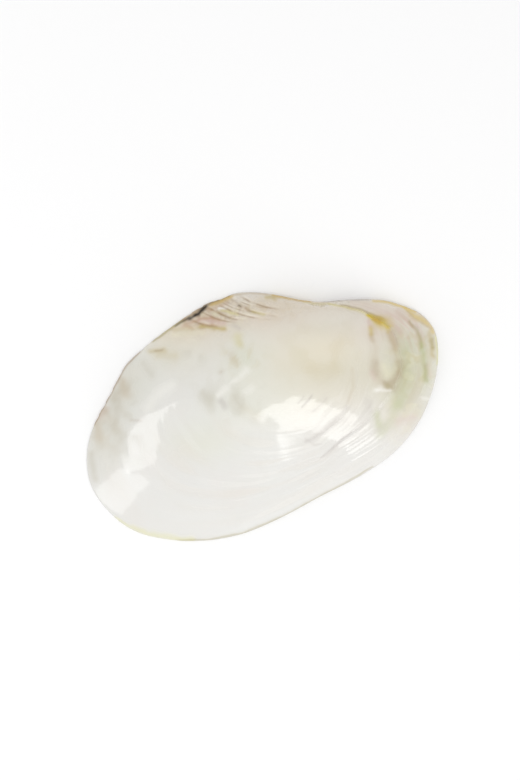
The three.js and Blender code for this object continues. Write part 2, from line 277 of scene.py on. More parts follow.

# Stains that are left of the outer skin, and some painted highlights and shadows, each a stroke:
# colour, cover and points with half widths
STAINS_AND_PAINTED_LIGHT = [
    # Broad smudges round the front end's bump
    (BISCUIT, 0.26, (29, -10, 2.4), (31, -16, 2.6), (33.4, -24, 2.2), (29, -31, 2.4)),
    (BISCUIT, 0.22, (22, -8, 2), (22.8, -16, 1.6), (23.4, -25, 2), (26, -31, 1.8)),
    (MOSS, 0.24, (34.8, -15, 2.8), (35.2, -22, 3.2), (34.8, -30, 3.6), (32.4, -38, 3)),
    (MOSS, 0.2, (32.6, -31, 2.2), (32.4, -37, 2.4)),
    (MOSS, 0.3, (31.2, -38.6, 1.8), (28.6, -45.6, 2), (25, -50, 1.6)),
    (MOSS, 0.4, (23.4, -42.2, 1.6), (24, -46.2, 1.6)),
    (GREY_AND_SHADE, 0.22, (20.4, -37, 1.5), (20.6, -40.4, 1.3)),
    (BLUSH, 0.25, (32, -44.6, 1.8), (38.4, -43.2, 1.5)),
    (BLUSH, 0.36, (43.4, -22.4, 1.2), (44.6, -26, 1.2)),
    (BLUSH, 0.25, (14, 2.4, 1.2), (22, 0.6, 1.8), (30, -3.4, 2.6)),
    # The first rest line
    (STRAW, 0.6, (4, 2.1, 0.35), (8.8, 1.3, 0.5), (14.8, 0, 0.7), (18.8, -1.5, 0.9), (22, -3.2, 0.9)),
    (UMBER, 0.42, (8.8, 1.8, 0.3), (14.6, 0.6, 0.4), (18.8, -0.8, 0.45), (22.4, -2.6, 0.5),
     (26.4, -3.8, 0.5)),
    (OCHRE, 0.95, (20, -2.9, 0.7), (22.4, -4, 1.3), (24.6, -4.8, 2.1), (26.6, -5.6, 2.3),
     (27.8, -6.6, 1.6)),
    (RUST, 0.35, (22.4, -4, 0.8), (24.8, -5, 1)),
    (OCHRE, 0.5, (27.8, -8, 0.8), (28, -9.6, 0.5)),
    (BLUSH, 0.5, (20.2, -5.2, 1), (20.8, -6.8, 0.9)),
    (OCHRE, 0.5, (20.9, -7.8, 1), (21.3, -10, 0.9)),
    # A brownish painted shadow below the pink and yellow mark
    (BISCUIT, 0.4, (21.4, -10.4, 1.2), (22, -12.4, 1)),
    (BISCUIT, 0.5, (28.6, -9.6, 1.2), (29.8, -12.6, 1.6), (31.4, -15.6, 1.5)),
    (UMBER, 0.24, (22.8, -22, 1.6), (22.8, -25.4, 1.6)),
    (BLUSH, 0.3, (21.6, -25.8, 1.2), (22.2, -27.4, 1)),
    (UMBER, 0.26, (32.4, -21.6, 1.4), (32.8, -26, 1.6)),
    (UMBER, 0.34, (31.8, -27, 1.7), (29.6, -30.2, 2.5), (27, -29.4, 1.6)),
    (OLIVE, 0.3, (28, -30.6, 1.4), (29, -32, 1.2)),
    (CREAM, 0.45, (26.8, -23.6, 2), (28, -25.6, 2.1)),
    (WHITE_AND_HIGHLIGHT, 0.4, (24.6, -31.6, 1.2), (23.6, -32.2, 0.9)),
    (WHITE_AND_HIGHLIGHT, 0.6, (23.2, -32.4, 0.7), (28.8, -32.6, 0.7)),
    # Painted highlight streaks near the front end
    (WHITE_AND_HIGHLIGHT, 0.45, (41.6, -35.6, 0.6), (44.8, -36.2, 0.6)),
    # The outer rest lines and the front margin
    (RUST, 0.25, (32.1, -1, 1.2), (35.5, -3.9, 1), (38.1, -6.7, 0.8)),
    (OLIVE, 0.43, (36.6, -5, 0.5), (39.6, -8.6, 0.7), (41, -12.4, 0.8), (41.5, -15.1, 0.7)),
    (MOSS, 0.54, (41.5, -14, 0.9), (42.2, -19.4, 1.2), (42.9, -24.4, 1.4), (43.2, -28.2, 1.3)),
    (OLIVE, 0.25, (42.9, -22, 0.7), (43.3, -28.4, 0.9)),
    (HONEY, 0.68, (34.5, 0.4, 0.8), (38.1, -2.6, 1.2), (42.1, -4.6, 1.2), (44.8, -6.4, 1),
     (46.3, -9.6, 0.8)),
    (UMBER, 0.22, (35.5, -0.9, 0.4), (38.4, -3.7, 0.5), (42.1, -5.9, 0.5), (45.2, -7.8, 0.4)),
    (FLAX, 0.54, (44.6, -9.6, 1), (45.4, -13, 1.3), (46, -19, 1)),
    (OLIVE, 0.36, (45.4, -12.4, 0.7), (45.8, -15.6, 0.7)),
    (LEMON, 0.8, (47, -11, 0.4), (48, -18.4, 0.5), (47.6, -22, 0.4)),
    (HONEY, 0.75, (22, 3.4, 0.5), (28, 2.8, 0.6), (34.1, 0.8, 0.6), (39, -1.2, 0.5)),
    (GREY_AND_SHADE, 0.58, (2.4, 2.9, 0.35), (10.4, 3.5, 0.45), (20, 3.8, 0.4)),
    # The dorsal edge behind the beak
    (STRAW, 0.43, (-5.8, 2.7, 0.4), (1.6, 1.9, 0.4), (7.2, 1.9, 0.35)),
    (AMBER, 0.8, (-18, 5.4, 0.6), (-12.4, 4.5, 0.5), (-7.2, 3.3, 0.4), (-3, 3, 0.3)),
    (FLAX, 0.65, (-20.6, 4.8, 0.9), (-17.2, 4.2, 0.9)),
    (BISCUIT, 0.5, (-34, 5.6, 0.4), (-27, 6.3, 0.4), (-20, 5.9, 0.4)),
    # The wing's edge, dark with what is left of the outer skin
    (OLIVE, 0.58, (-66, -13, 0.4), (-60, -8.4, 0.6), (-54.4, -4.6, 0.8)),
    (UMBER, 0.61, (-53.6, -4.6, 0.8), (-48, -0.6, 1.2), (-43, 2.2, 1), (-36, 5, 0.8)),
    (BARK, 0.55, (-57, -6.8, 0.3), (-54, -4.8, 0.35), (-51.6, -3.4, 0.5)),
    (BARK, 0.85, (-51.6, -3.8, 0.8), (-50.4, -3.2, 0.6), (-49, -2.2, 0.45)),
    (BARK, 0.98, (-49.2, -2.4, 0.5), (-47.6, -2, 0.8), (-46.8, -0.8, 1), (-46, 0.4, 0.9),
     (-44.8, 1.3, 0.5)),
    (BARK, 0.5, (-44.6, 1.4, 0.5), (-40, 3.4, 0.5), (-35.2, 5.6, 0.4)),
    (AMBER, 0.75, (-43, 1.4, 0.7), (-39, 3, 0.8), (-36, 4.4, 0.9), (-34.4, 5, 0.6)),
    (RUST, 0.4, (-42.6, -0.2, 0.6), (-39, 0.9, 0.8), (-36.4, 2.2, 0.7)),
    (WHITE_AND_HIGHLIGHT, 0.8, (-39.6, 0.2, 0.6), (-37, 0.2, 0.6)),
    (STRAW, 0.54, (-38.4, -0.6, 0.4), (-34.8, -1.4, 0.6), (-32, -2.2, 0.5)),
    (UMBER, 0.43, (-34.6, 3.8, 0.4), (-31.4, 1.6, 0.6), (-27.2, -0.6, 0.6), (-23.6, -1.9, 0.4)),
    (BARK, 0.8, (-31.8, 1.5, 0.25), (-31, 1.1, 0.25)),
    (STRAW, 0.5, (-26, -1, 0.7), (-21.6, -2.2, 0.6)),
    (UMBER, 0.43, (-44, 0.4, 0.5), (-40.2, -1, 0.5), (-36.8, -3.2, 0.5), (-32.4, -4.4, 0.3)),
    (BLUSH, 0.58, (-47.8, -4.6, 1), (-42.4, -5, 1.1), (-37.4, -5.8, 0.8)),
    (RUST, 0.4, (-50.6, -5.2, 0.7), (-47, -4, 0.6), (-43, -3.6, 0.5), (-38.6, -4.6, 0.4)),
    (RUST, 0.32, (-53, -6.4, 0.9), (-50, -7.2, 0.9)),
    (FLAX, 0.8, (-46.6, -7, 0.9), (-41.6, -7.4, 1.1), (-37.4, -8, 0.9)),
    (RUST, 0.32, (-46, -6.2, 0.5), (-40.6, -6.4, 0.5)),
    (CREAM, 0.35, (-58, -10.2, 0.8), (-52, -10.2, 1), (-46, -9.6, 0.8)),
    (FLAX, 0.45, (-67.4, -16.8, 1), (-61.4, -16.6, 1.1)),
    (FLAX, 0.28, (-64, -18.6, 1.6), (-58, -18.8, 2)),
    (FLAX, 0.3, (-57.4, -8.2, 0.9), (-51, -8, 1.1), (-46, -7.4, 0.9)),
    (UMBER, 0.36, (-65.2, -16.8, 0.4), (-62.2, -16.4, 0.4)),
    # A painted shadow near the inner ends of the folds
    (GREY_AND_SHADE, 0.29, (-33.8, -6.2, 0.9), (-31.8, -7.8, 0.9)),
    (STRAW, 0.4, (-32, -11.4, 1.6), (-31.4, -14, 1.5)),
    # Mottling between the wing and the crest
    (BISCUIT, 0.25, (-34.6, -18.4, 1.8), (-32.8, -21.4, 1.6)),
    (UMBER, 0.25, (-39, -25.4, 0.9), (-38.2, -25.2, 0.9)),
    (MOSS, 0.1, (-30, -17, 2.4), (-28, -21, 2)),
    (SMOKE, 0.5, (-46, -34.4, 2.2), (-43, -36.6, 2.4)),
    # Painted shade in the small dent beside the bumps
    (GREY_AND_SHADE, 0.42, (-38.6, -36.8, 1.3), (-37.4, -39, 1.3)),
    (SMOKE, 0.45, (-33, -35.4, 2), (-30.6, -39.4, 2.4)),
    (FLAX, 0.1, (-28.6, -40, 2), (-24.6, -42.4, 2.2)),
    # Partly white flecks, partly a painted highlight on the small bumps along this ridge
    (WHITE_AND_HIGHLIGHT, 0.5, (-40.2, -34.8, 0.9), (-36.6, -31.6, 1.1)),
    (WHITE_AND_HIGHLIGHT, 0.5, (-34.4, -29.4, 0.6), (-32.2, -27.8, 0.9)),
    (WHITE_AND_HIGHLIGHT, 0.55, (-30.4, -26.2, 1.4), (-28.4, -24.2, 1.6)),
    # A painted highlight spot left of the front softbox's reflection
    (WHITE_AND_HIGHLIGHT, 0.5, (-22.4, -44.6, 1.1), (-20.4, -42.4, 1.1)),
    (WHITE_AND_HIGHLIGHT, 0.35, (-28.6, -33.4, 1.2), (-26.4, -31.6, 1.2)),
    (FLAX, 0.14, (-3, -24.4, 2.6), (7, -24.6, 3)),
    (FLAX, 0.06, (7, -22, 2.4), (9, -14, 2.4)),
    # The rear end
    (BISCUIT, 0.36, (-78.6, -29, 1.6), (-76.8, -34, 2.2)),
    (SMOKE, 0.5, (-80.6, -36, 2), (-80.6, -40, 2.2)),
    (RUST, 0.22, (-84.6, -40, 1.2), (-87.4, -43.4, 1.2)),
    (BISCUIT, 0.36, (-88.4, -46, 1.2), (-87.6, -51.6, 1.8)),
    (SMOKE, 0.36, (-81.6, -46, 2.6), (-80, -52, 2.6)),
    (UMBER, 0.25, (-74.6, -44.4, 0.5), (-70.8, -44.8, 0.4)),
    # A painted highlight that carries the rear softbox's reflection further up
    (WHITE_AND_HIGHLIGHT, 0.42, (-68, -39, 2.2), (-63.6, -33.6, 2.4), (-58.4, -30.4, 1.8)),
    (SMOKE, 0.5, (-90.6, -58, 1.4), (-89.6, -68, 1.4)),
    (SMOKE, 0.29, (-70, -22, 1.4), (-66, -27, 1.2)),
    (UMBER, 0.6, (-89.4, -46.4, 0.3), (-84.8, -37.4, 0.45), (-80.8, -29.8, 0.45), (-76.6, -22.4, 0.4),
     (-71.2, -17.2, 0.3)),
    # The lower margin
    (LEMON, 0.6, (-81, -83.4, 0.4), (-76, -86.6, 0.8), (-68, -90, 1.2), (-60, -91.6, 1.4),
     (-50, -92.3, 0.9)),
    (OLIVE, 0.45, (-56, -92.6, 0.4), (-44.4, -92.3, 0.45), (-30, -89.7, 0.5), (-14.8, -83.3, 0.5),
     (1.2, -74.7, 0.5), (12, -69, 0.4), (22, -63, 0.3)),
    # Streaks and rest lines under the crest
    (GREY_AND_SHADE, 0.4, (-2.4, -34.4, 0.4), (-4, -36.8, 0.5), (-6.4, -39.4, 0.4)),
    (GREY_AND_SHADE, 0.3, (-5.6, -34.8, 0.35), (-8, -37.8, 0.4)),
    (GREY_AND_SHADE, 0.22, (3.4, -35.6, 0.5), (1, -38.4, 0.6), (-2, -41, 0.4)),
    (BISCUIT, 0.16, (13.6, -24, 0.7), (14, -31.3, 0.8), (12, -37.7, 0.8)),
    (GREY_AND_SHADE, 0.3, (11.4, -39.4, 0.8), (8.6, -43.4, 0.9), (3.6, -47.6, 0.9), (-1.4, -51.3, 0.7),
     (-5.1, -53, 0.5)),
    (GREY_AND_SHADE, 0.4, (13.3, -49.4, 0.4), (10.4, -51.6, 0.5), (7.5, -54.2, 0.4), (2.8, -58.2, 0.5),
     (1, -59.6, 0.3)),
    (GREY_AND_SHADE, 0.22, (-5, -52, 0.5), (-1.2, -54.4, 0.5), (1.6, -54, 0.3)),
]

# Blotchy patches, with painted highlight streaks among them: centre, half sizes, grain, colour, cover
# and True if they follow the growth
BLOTCHES_AND_HIGHLIGHT_STREAKS = [
    ((-80, -38), (9, 17), 6, SMOKE, 0.5),
    ((-82, -44), (9, 16), 3.2, SMOKE, 0.3),
    ((-84, -44), (6, 14), 4, BISCUIT, 0.2),
    ((-72, -22), (12, 8), 5, SMOKE, 0.15),
    ((-50, -16), (8, 6), 4, SMOKE, 0.3),
    ((-36, -36), (12, 9), 4.2, SMOKE, 0.36),
    ((-31, -19), (8, 7), 3, FLAX, 0.24),
    ((-48, -3.4), (12, 4.4), 1.8, RUST, 0.36),
    ((-47, -4.4), (12, 4.6), 1.6, BLUSH, 0.5),
    ((-50, -4), (11, 3.6), 1.5, UMBER, 0.3),
    ((-38, -1), (14, 6), 1.3, CREAM, 0.5),
    ((-34, 1), (14, 5), 0.9, UMBER, 0.22),
    ((-24, 0), (16, 5), 1.6, TAN, 0.5),
    ((34, -22), (10, 20), 2.2, BISCUIT, 0.35, True),
    ((36, -26), (9, 18), 3.4, MOSS, 0.16),
    ((37, -30), (10, 22), 3, CREAM, 0.35),
    ((35, -6), (12, 8), 1.5, BLUSH, 0.4, True),
    ((40, -18), (8, 16), 2.6, FLAX, 0.28),
    # Painted highlight streaks along the growth, inside the front softbox's reflection
    ((12, -44), (16, 12), 1.5, WHITE_AND_HIGHLIGHT, 0.3, True),
    ((12, -46), (18, 12), 1.1, GREY_AND_SHADE, 0.18, True),
    ((12, 2), (26, 4), 1.4, UMBER, 0.12, True),
    ((-30, -66), (50, 22), 2.4, ROSE, 0.14, True),
    ((-20, -60), (50, 24), 1.7, WHITE_AND_HIGHLIGHT, 0.15, True),
    ((0, -16), (20, 14), 6, FLAX, 0.1),
]
BLOTCH_EDGE = (-0.05, 0.4)  # noise over which it sets in
STROKE_FALL = 0.8  # how fast a stroke thins out

# Where folds are coloured, and the cover of the painted highlight on their backs and of the brown in
# their grooves
WING_LIMITS = (-56, -46, -16, -8)
WING_FADE = (-9.5, -6.5)
RIDGE_HIGHLIGHT_COVER = 0.62
GROOVE_COVER = 0.66


def ease(low, high, x):
    """0 below low, 1 above high, and smooth between."""
    t = np.clip((x - low) / (high - low), 0, 1)
    return t * t * (3 - 2 * t)


def between(limits, x):
    """1 between the middle two of four limits, 0 beyond the outer two, and smooth."""
    return ease(*limits[:2], x) * (1 - ease(*limits[2:], x))


def bell(x):
    """1 at 0, fading to both sides."""
    return np.exp(-(x**2))


def distance(x, y, place, sizes=(1, 1)):
    """How far points are from a place, in millimetres or half sizes."""
    return np.hypot((x - place[0]) / sizes[0], (y - place[1]) / sizes[1])


def lerp(a, b, share):
    """The value that lies that share of the way from a to b."""
    return a + (b - a) * share


def direction_of(x, y):
    """Directions in degrees, from 0 to 360."""
    return np.degrees(np.arctan2(y, x)) % 360


def margin_point(t):
    """Points of the margin's centripetal curve, t running from 0 to 1 round it."""
    spans = len(MARGIN)
    u = (np.asarray(t, float) % 1) * spans
    i = np.floor(u).astype(int)
    w = (u - i)[..., None]
    p0, p1, p2, p3 = (MARGIN[(i + k) % spans] for k in (-1, 0, 1, 2))
    d0, d1, d2 = (
        np.sqrt(np.linalg.norm(b - a, axis=-1, keepdims=True))
        for a, b in ((p0, p1), (p1, p2), (p2, p3))
    )
    m1 = ((p1 - p0) / d0 - (p2 - p0) / (d0 + d1) + (p2 - p1) / d1) * d1
    m2 = ((p2 - p1) / d1 - (p3 - p1) / (d1 + d2) + (p3 - p2) / d2) * d1
    return p1 + m1 * w + (3 * p2 - 3 * p1 - 2 * m1 - m2) * w**2 + (2 * p1 - 2 * p2 + m1 + m2) * w**3


def inward(t):
    """Unit vectors pointing from the margin into the shell."""
    along = margin_point(t + TANGENT_REACH) - margin_point(t + 1 - TANGENT_REACH)
    along /= np.linalg.norm(along, axis=-1, keepdims=True)
    return np.stack((-along[..., 1], along[..., 0]), axis=-1)


def edge_width(t, shape):
    """Width of the flat edge: the hinge plate beside the beak, the rim elsewhere."""
    x, y = np.moveaxis(margin_point(t), -1, 0)
    at_hinge = ease(*PLATE_FADE, y) * between(PLATE_LIMITS, x)
    return lerp(shape.rim / MM, shape.hinge_plate / MM, at_hinge)


def radius_table(line):
    """The radius of a closed line about the crest, for each direction from it."""
    dx, dy = (line - CREST).T
    known = sorted_pair(direction_of(dx, dy), np.hypot(dx, dy))
    return np.interp(TABLE_DEGREES, *known, period=360)


def sorted_pair(keys, values):
    """Both arrays in the order of the first."""
    order = np.argsort(keys)
    return keys[order], values[order]


def smoothed(table, orders=SMOOTH_ORDERS):
    """A table's first few harmonics."""
    waves = np.fft.rfft(table)
    kept = np.zeros_like(waves)
    kept[list(orders)] = waves[list(orders)]
    return np.fft.irfft(kept, len(table))


def look_up(table, direction):
    """A table's value for each direction."""
    return np.interp(direction, TABLE_DEGREES, table, period=360)


FULLNESS_TABLE = smoothed(np.interp(TABLE_DEGREES, *np.array(FULLNESS).T, period=360))


class Dome:
    """The curved surface over a closed line, highest at the crest."""

    def __init__(self, line, height):
        self.height = height
        self.exact = radius_table(line)
        self.smooth = smoothed(self.exact)
        self.round = smoothed(self.exact**-2, ROUND_ORDERS) ** -0.5

    def share(self, x, y):
        """The share of the way from the crest to the line."""
        dx, dy = x - CREST[0], y - CREST[1]
        direction, r = direction_of(dx, dy), np.hypot(dx, dy)
        edge = look_up(self.exact, direction)
        near = ease(*ROUND_BLEND, r / edge)
        middle = lerp(look_up(self.round, direction), look_up(self.smooth, direction), near)
        return np.minimum(1, r / lerp(middle, edge, np.minimum(1, r / edge) ** NEAR_EDGE))

    def rise(self, share, x, y):
        """Height over the line at a point."""
        around = look_up(FULLNESS_TABLE, direction_of(x - CREST[0], y - CREST[1]))
        power = lerp(CREST_FULLNESS, around, ease(*CREST_BLEND, share))
        return self.height * np.maximum(0, 1 - share**2) ** power


def growth_scale(stage, direction):
    """How large the margin is drawn at a stage of growth, by direction from the beak."""
    bend = stage * (1 - stage) / (FIRST_REST * (1 - FIRST_REST))
    return stage - CORNER_DIP * between(CORNER_LIMITS, direction) * bend


def front_strength(direction):
    """1 round the front end, where the growth lines are strong, and less at the rear."""
    return REAR_STRENGTH + (1 - REAR_STRENGTH) * between(FRONT_LIMITS, direction)


def growth_at(stage, edge, direction):
    """Stages counted so that each rest line has one stage all along it, for rows by columns."""
    counted = np.empty((len(stage), len(edge)))
    order = np.argsort(direction)
    lines = []
    for points, at, *_ in REST_LINES:
        points = np.array(points)
        turn = np.degrees(np.arctan2(points[:, 1], points[:, 0]))
        size = np.interp(turn, direction[order], np.linalg.norm(edge, axis=-1)[order])
        share = np.linalg.norm(points, axis=-1) / size
        turn, share = sorted_pair(turn, share)
        turn = [turn[0] - REST_RUN_OUT[0], *turn, turn[-1] + REST_RUN_OUT[1]]
        lines.append(np.interp(direction, turn, [at, *share, at]))
    for column in range(len(edge)):
        scales = growth_scale(stage, direction[column])
        knots = [0] + [line[column] for line in lines] + [1]
        counted[:, column] = np.interp(scales, knots, [0] + [line[1] for line in REST_LINES] + [1])
    return counted


def terrace(stage, at, length, edge):
    """A ridge that rises towards a stage of growth and then drops off."""
    return np.exp(-np.maximum(0, at - stage) / length) * (1 - ease(at, at + edge, stage))


def growth_lines(stage, direction):
    """Fine terraces between the rests, each of which comes and goes round the shell."""
    rng = np.random.default_rng(GROWTH_SEED)
    low, high = GROWTH_STAGES
    lower_front = bell((direction - LOWER_FRONT[0]) / LOWER_FRONT[1])
    relief = np.zeros(stage.shape)

    def swing(slowest, fastest):
        """A wave round the shell with a random pace and start."""
        return np.sin(np.radians(direction) * rng.uniform(slowest, fastest) + rng.uniform(0, 6))

    for k in range(GROWTH_LINES):
        at = low + (high - low) * (k + rng.uniform(-0.35, 0.35)) / GROWTH_LINES
        wander = GROWTH_WANDER * swing(1.5, 4)
        wave = swing(2, 6)
        height = GROWTH_HEIGHT * rng.uniform(0.25, 1) * lerp(GROWTH_REAR, 1, lower_front)
        relief += height * (0.6 + 0.4 * wave) * terrace(stage, at + wander, *GROWTH_SLOPE)
    return relief


def noise(x, y, size, seed):
    """Smooth noise from -1 to 1 with features of about that size in millimetres."""
    places = zip((x / size).ravel(), (y / size).ravel())
    return np.array([perlin((a, b, seed)) for a, b in places]).reshape(x.shape)


def stroke_cover(x, y, points):
    """How well a stroke covers every point: 1 along its middle and 0 well outside its width."""
    cover = np.zeros(x.shape)
    for (ax, ay, start), (bx, by, end) in zip(points, points[1:]):
        ux, uy = bx - ax, by - ay
        share = np.clip(((x - ax) * ux + (y - ay) * uy) / (ux**2 + uy**2), 0, 1)
        away = np.hypot(x - ax - share * ux, y - ay - share * uy) / lerp(start, end, share)
        cover = np.maximum(cover, np.exp(-STROKE_FALL * away**2))
    return cover


def fold_relief(x, y):
    """Oblique ridges across the wing: their height, the grooves beside them and their backs, where a
    highlight is painted.
    """
    relief, groove, ridge = np.zeros((3, *x.shape))
    for start, end, height, width in FOLDS:
        length = math.dist(start, end)
        ux, uy = (end[0] - start[0]) / length, (end[1] - start[1]) / length
        dx, dy = x - start[0], y - start[1]
        share = (dx * ux + dy * uy) / length
        bow = FOLD_BOW * length * np.sin(math.pi * np.clip(share, 0, 1))
        aside = (dy * ux - dx * uy + bow) / width
        lean = np.where(aside > 0, *FOLD_SLOPES)
        ends = between(FOLD_LIMITS, share)
        relief += height * ends * bell(aside * lean)
        groove = np.maximum(groove, ends * bell((aside + GROOVE[0]) / GROOVE[1]))
        ridge = np.maximum(ridge, ends * bell((aside + RIDGE[0]) / RIDGE[1]))
    return relief, groove, ridge


def bump_height(x, y):
    """Small bumps and dents."""
    return sum(height * bell(distance(x, y, at) / radius) for at, radius, height in BUMPS)


def ledge_factor(stage, direction):
    """The face behind the beak drops to a narrow ledge along the hinge."""
    return 1 - LEDGE_DROP * between(LEDGE_LIMITS, direction) * ease(LEDGE_START, FIRST_REST, stage)


def nibble_depth(edge):
    """How far the margin is worn back at each of its points."""
    return sum(
        depth * np.exp(-(distance(edge[..., 0], edge[..., 1], at) / half) ** 4)
        for at, half, depth in NIBBLES
    )


def outer_skin(stage, t, shape):
    """The outside by rows of growth stages and columns t: its points and their counted growth."""
    edge = margin_point(t)
    direction = np.degrees(np.arctan2(edge[:, 1], edge[:, 0]))
    counted = growth_at(stage, edge, direction)
    stage = stage[:, None]
    worn = 1 - ease(NIBBLE_START, 1, stage) * nibble_depth(edge) / np.linalg.norm(edge, axis=-1)
    scale = growth_scale(stage, direction) * worn
    x, y = edge[:, 0] * scale, edge[:, 1] * scale
    dome = Dome(margin_point(ROUND_THE_MARGIN), (shape.depth - shape.lip) / MM)
    share = np.where(stage >= 1, 1, dome.share(x, y))
    swell = UMBO_SWELL * bell(distance(x, y, UMBO) / UMBO_REACH) * np.sqrt(1 - share**2)
    base = (dome.rise(share, x, y) + swell) * ledge_factor(stage, direction)
    rests = sum(
        height * terrace(counted, at, length, REST_EDGE)
        * (1 - ease(until - WORN_REACH, until, direction))
        for _, at, height, length, until in REST_LINES
    )
    present = ease(*BEAK_CALM, np.hypot(x, y)) * (1 - ease(*EDGE_FADE, stage))
    relief = rests * front_strength(direction) + fold_relief(x, y)[0] + bump_height(x, y)
    relief += sum(height * noise(x, y, size, seed) for size, height, seed in SWELLS)
    relief += growth_lines(counted, direction)
    return np.stack((x, y, shape.lip / MM + base + relief * present), axis=-1), counted


def scar_depth(x, y):
    """How deep the muscle scars are sunk into the inside."""
    return sum(
        depth * (1 - ease(1 - SCAR_EDGE, 1 + SCAR_EDGE, distance(x, y, at, sizes)))
        for at, sizes, depth in SCARS
    )


def inner_line(t, shape):
    """The inner edge of the flat rim and hinge plate."""
    return margin_point(t) + inward(t) * edge_width(t, shape)[..., None]


def inner_skin(share, t, shape):
    """The inside by rows of shares of the way from the crest to the rim and columns t."""
    share = share[:, None]
    edge = inner_line(t, shape)
    x, y = (CREST[k] + (edge[:, k] - CREST[k]) * share for k in (0, 1))
    dome = Dome(inner_line(ROUND_THE_MARGIN, shape), (shape.depth - shape.wall) / MM)
    inside = np.where(share >= 1, 1, dome.share(x, y))
    sunk = scar_depth(x, y) * (1 - ease(*SCAR_FADE, share))
    line = PALLIAL_DEPTH * bell((share - PALLIAL_SHARE) / PALLIAL_WIDTH) * ease(*PALLIAL_FADE, -y)
    return np.stack((x, y, np.where(share >= 1, 0, dome.rise(inside, x, y) + sunk + line)), axis=-1)


def rim_rows(t, shape):
    """The rounded edge from the outside's last row down to the flat rim."""
    lip = shape.lip / MM
    width = edge_width(t, shape)
    worn = nibble_depth(margin_point(t))
    insets = [(worn + inset, height) for inset, height in EDGE_ROUND]
    insets += [(width * share, 0) for share in RIM_SHARES]
    return np.array([
        np.column_stack((margin_point(t) + inward(t) * inset[:, None], np.full(t.shape, height * lip)))
        for inset, height in insets
    ])


def spread(count, fine, steps):
    """That many of the fine places, with the steps between them shared out evenly."""
    reached = np.concatenate(([0], np.cumsum(steps)))
    return np.interp(np.linspace(0, 1, count), reached / reached[-1], fine)


def column_places(columns):
    """Where each column of faces meets the margin, from 0 to 1 round it."""
    fine = np.linspace(0, 1, 20 * len(MARGIN) + 1)
    step = np.linalg.norm(np.diff(margin_point(fine), axis=0), axis=1)
    weight = np.interp((fine[1:] + fine[:-1]) / 2 * len(MARGIN), *np.array(COLUMN_WEIGHTS).T)
    return spread(columns + 1, fine, step * weight)


def outer_stages(rows):
    """Stages of growth for the outside's rows, closer together where the growth lines are."""
    fine = np.linspace(0, 1, FINE_STEPS + 1)
    weight = 0.6 + 0.9 * ease(0.35, 0.6, fine)
    return spread(rows, fine, (weight[1:] + weight[:-1]) / 2)


def skin_points(shape):
    """All points of the skin by row and column, with their growth: up to 1 outside, 2 inside."""
    t = column_places(shape.columns)
    outside, grown = outer_skin(outer_stages(shape.outer_rows), t, shape)
    edge = rim_rows(t, shape)
    shares = 1 - np.linspace(0, 1, shape.inner_rows)
    inside = inner_skin(shares, t, shape)
    over_edge = 1 + RIM_GROWTH * np.arange(1, len(edge) + 1) / (len(edge) + 1)
    beyond = np.concatenate((over_edge, 2 - (1 - RIM_GROWTH) * shares))
    grown = np.concatenate((grown, np.tile(beyond[:, None], len(t))))
    return np.concatenate((outside, edge, inside)), grown, t


def skin_tint(points):
    """The polished skin's colour: the pearl ground with the broad patches laid over it."""
    x, y = as_seen(points)
    colour = np.tile(np.array(PEARL), x.shape + (1,))
    for centre, sizes, patch, cover in TINTS:
        mask = cover * bell(distance(x, y, centre, sizes))
        colour = lerp(colour, np.array(patch), mask[..., None])
    return colour


def laid_over(paint, colour, mask):
    """Paint, which is a colour with cover, after another layer of it."""
    mask = mask[..., None]
    total = mask + paint[..., 3:] * (1 - mask)
    share = np.divide(mask, total, out=np.zeros_like(mask), where=total > 1e-6)
    return np.concatenate((lerp(paint[..., :3], np.array(colour), share), total), axis=-1)


def as_seen(points):
    """Where the camera sees each point, drawn on the floor."""
    away = points[..., :2] - SEEN_FROM[:2]
    return np.moveaxis(SEEN_FROM[:2] + away / (1 - points[..., 2:] / SEEN_FROM[2]), -1, 0)


def waver(x, y, seed):
    """A shift that wavers coarsely and finely."""
    return 0.7 * noise(x, y, 3.1, seed) + 0.3 * noise(x, y, 1.1, seed + 1)


def skin_paint(points, grown):
    """The colour and cover of all blotches, stains and painted highlights and shadows, with edges that
    wander a little.
    """
    x, y = as_seen(points)
    outside = 1 - ease(*INSIDE_FADE, grown)
    wx, wy = waver(x, y, 3.5), waver(x, y, 5.5)
    paint = np.tile(np.array((*BISCUIT, 0.0)), x.shape + (1,))
    round_beak, outwards = np.arctan2(y, x) * ROUND_REACH, grown * GROWTH_REACH
    for seed, (centre, sizes, grain, colour, strength, *follows) in enumerate(BLOTCHES_AND_HIGHLIGHT_STREAKS):
        near = bell(distance(x, y, centre, sizes))
        if follows:
            pattern = noise(round_beak, outwards, grain, seed + 0.5)
        else:
            pattern = noise(x + 2 * wx, y + 2 * wy, grain, seed + 0.5)
        paint = laid_over(paint, colour, strength * near * ease(*BLOTCH_EDGE, pattern) * outside)
    for colour, strength, *stroke in STAINS_AND_PAINTED_LIGHT:
        wander = min(1, 0.6 * max(half for _, _, half in stroke))
        mask = stroke_cover(x + wander * wx, y + wander * wy, stroke)
        paint = laid_over(paint, colour, strength * mask * outside)
    _, groove, ridge = fold_relief(points[..., 0], points[..., 1])
    wing = between(WING_LIMITS, x) * ease(*WING_FADE, y) * outside
    # The folds' backs get a painted highlight and their grooves brown, both broken up by noise
    ridge = RIDGE_HIGHLIGHT_COVER * ridge * ease(-0.5, 0.3, noise(x, y, 2.6, 9.5))
    groove = GROOVE_COVER * groove * ease(-0.35, 0.35, noise(x, y, 3.2, 8.5))
    return laid_over(laid_over(paint, RIDGE_HIGHLIGHT_COLOUR, ridge * wing), UMBER, groove * wing)


